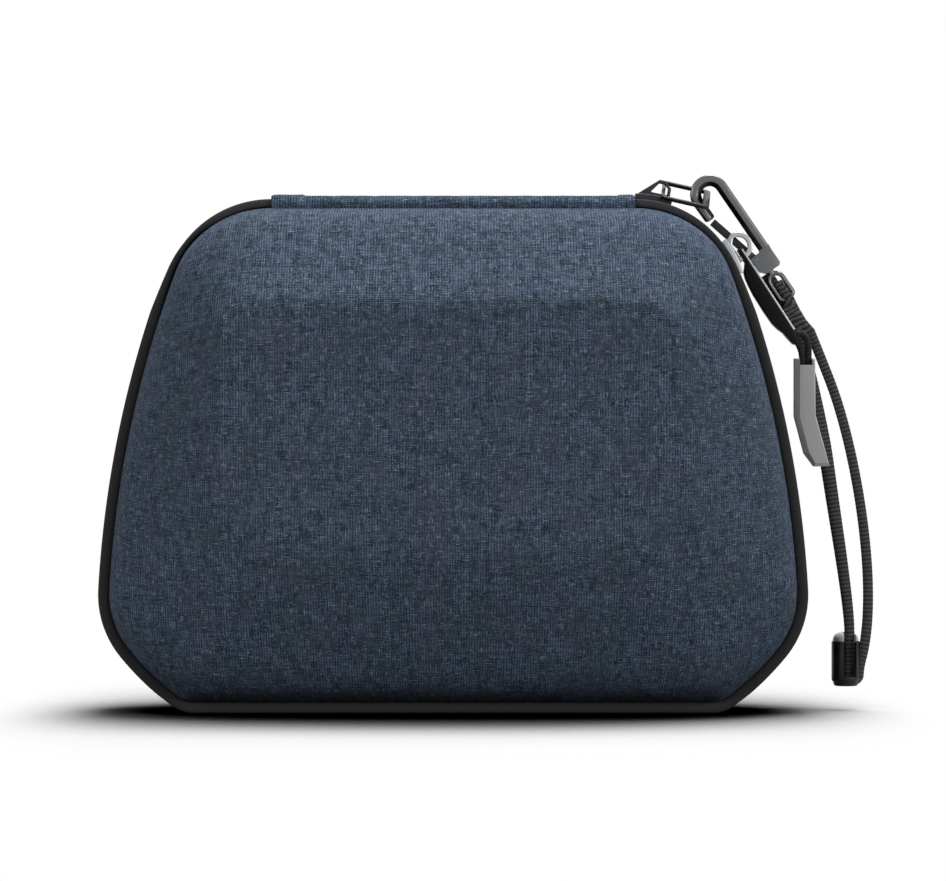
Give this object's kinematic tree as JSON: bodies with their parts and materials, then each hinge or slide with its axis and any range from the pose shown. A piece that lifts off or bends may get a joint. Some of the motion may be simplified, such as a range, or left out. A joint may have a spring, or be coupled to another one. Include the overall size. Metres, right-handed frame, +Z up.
{
  "type": "controller carrying case",
  "caption": "Zipped hard case for a game controller, moulded in two denim covered halves, standing on its edge, with two sliders, a snap hook with wrist strap and a grip pull.",
  "frame": {"origin": "bottom centre of the closed case, on the surface it stands on", "axes": "+Z up, +X to the right seen from the front, the front half towards -Y"},
  "size_m": [0.1987, 0.078, 0.1383],
  "materials": {
    "denim_cloth": "woven blue-grey cloth over moulded foam",
    "black_piping": "round woven piping",
    "black_tape": "woven zip tape",
    "black_nylon": "nylon coil",
    "dark_zinc": "black coated die casting",
    "silver_zinc": "bright plated die casting",
    "gunmetal": "gunmetal plated, polished",
    "black_webbing": "flat woven webbing and braided cord",
    "black_plastic": "moulded, satin",
    "grey_plastic": "moulded, satin, light grey",
    "black_rubber": "soft moulded rubber",
    "grip_grey": "moulded, matt, mid grey",
    "elastic_black": "ribbed elastic",
    "net_black": "open net"
  },
  "bodies": {
    "back_half": {"back_shell": "denim_cloth", "back_binding": "black_piping", "back_zipper_tape": "black_tape", "back_zipper_coil": "black_nylon", "spine_strip": "denim_cloth", "holding_band": "elastic_black"},
    "front_half": {"front_shell": "denim_cloth", "front_binding": "black_piping", "front_zipper_tape": "black_tape", "front_zipper_coil": "black_nylon", "pocket_net": "net_black", "pocket_hem": "elastic_black"},
    "upper_slider": {"upper_slider_body": "dark_zinc", "upper_slider_bridge": "dark_zinc"},
    "upper_pull": {"upper_pull": "gunmetal"},
    "lower_slider": {"lower_slider_body": "silver_zinc", "lower_slider_bridge": "silver_zinc"},
    "lower_pull": {"lower_pull_tab": "black_rubber"},
    "grip": {"pull_cord": "black_webbing", "pull_grip": "grip_grey"},
    "hook": {"hook_body": "gunmetal", "gate_pin": "gunmetal"},
    "gate": {"hook_gate": "gunmetal"},
    "swivel": {"swivel_eye": "gunmetal"},
    "strap": {"lanyard_wrap": "black_webbing", "lanyard_strap": "black_webbing"},
    "stopper": {"stopper_body": "black_plastic"},
    "button": {"stopper_button": "grey_plastic"}
  },
  "joints": [
    {"name": "lid_hinge", "type": "hinge", "parent": "back_half", "child": "front_half", "pos_m": [0, 0, 0.1325], "axis": [-1, 0, 0], "range_deg": [0, 180], "deforming": ["spine_strip", "back_zipper_tape", "front_zipper_tape", "back_zipper_coil", "front_zipper_coil"]},
    {"name": "upper_slider_run", "type": "slide", "parent": "back_half", "child": "upper_slider", "axis": [0.9483, 0, -0.3173], "range_m": [0, 0.0085]},
    {"name": "lower_slider_run", "type": "hinge", "parent": "back_half", "child": "lower_slider", "pos_m": [-0.18711, 0, 0.01616], "axis": [0, 1, 0], "range_deg": [0, 8]},
    {"name": "upper_pull_swing", "type": "hinge", "parent": "upper_slider", "child": "upper_pull", "pos_m": [0.05412, 0, 0.13406], "axis": [0, -1, 0], "range_deg": [0, 110]},
    {"name": "hook_swing", "type": "hinge", "parent": "upper_pull", "child": "hook", "pos_m": [0.06549, 0.0043, 0.13313], "axis": [0, -1, 0], "range_deg": [0, 100]},
    {"name": "gate_press", "type": "hinge", "parent": "hook", "child": "gate", "pos_m": [0.07805, 0.0043, 0.11627], "axis": [0, 1, 0], "range_deg": [0, 14], "stiffness_Nm_per_rad": 0.02, "springref_deg": -5.73},
    {"name": "swivel_turn", "type": "hinge", "parent": "hook", "child": "swivel", "pos_m": [0.08189, 0.0043, 0.11333], "axis": [0.5664, 0, -0.8241], "continuous": true},
    {"name": "strap_swing", "type": "hinge", "parent": "swivel", "child": "strap", "pos_m": [0.08653, 0.0043, 0.10657], "axis": [0, -1, 0], "range_deg": [0, 60], "deforming": ["lanyard_strap", "lanyard_wrap"]},
    {"name": "stopper_slide", "type": "slide", "parent": "strap", "child": "stopper", "axis": [0, 0, 1], "range_m": [0, 0.04], "deforming": ["lanyard_strap"]},
    {"name": "button_press", "type": "slide", "parent": "stopper", "child": "button", "axis": [0, 0, -1], "range_m": [0, 0.0007], "stiffness_N_per_m": 150, "springref_m": -0.001},
    {"name": "lower_pull_swing", "type": "hinge", "parent": "lower_slider", "child": "lower_pull", "pos_m": [0.07405, 0, 0.11825], "axis": [0, -1, 0], "range_deg": [0, 110]},
    {"name": "grip_swing", "type": "hinge", "parent": "lower_pull", "child": "grip", "pos_m": [0.08837, 0, 0.09619], "axis": [0, -1, 0], "range_deg": [0, 80], "deforming": ["pull_cord"]}
  ]
}
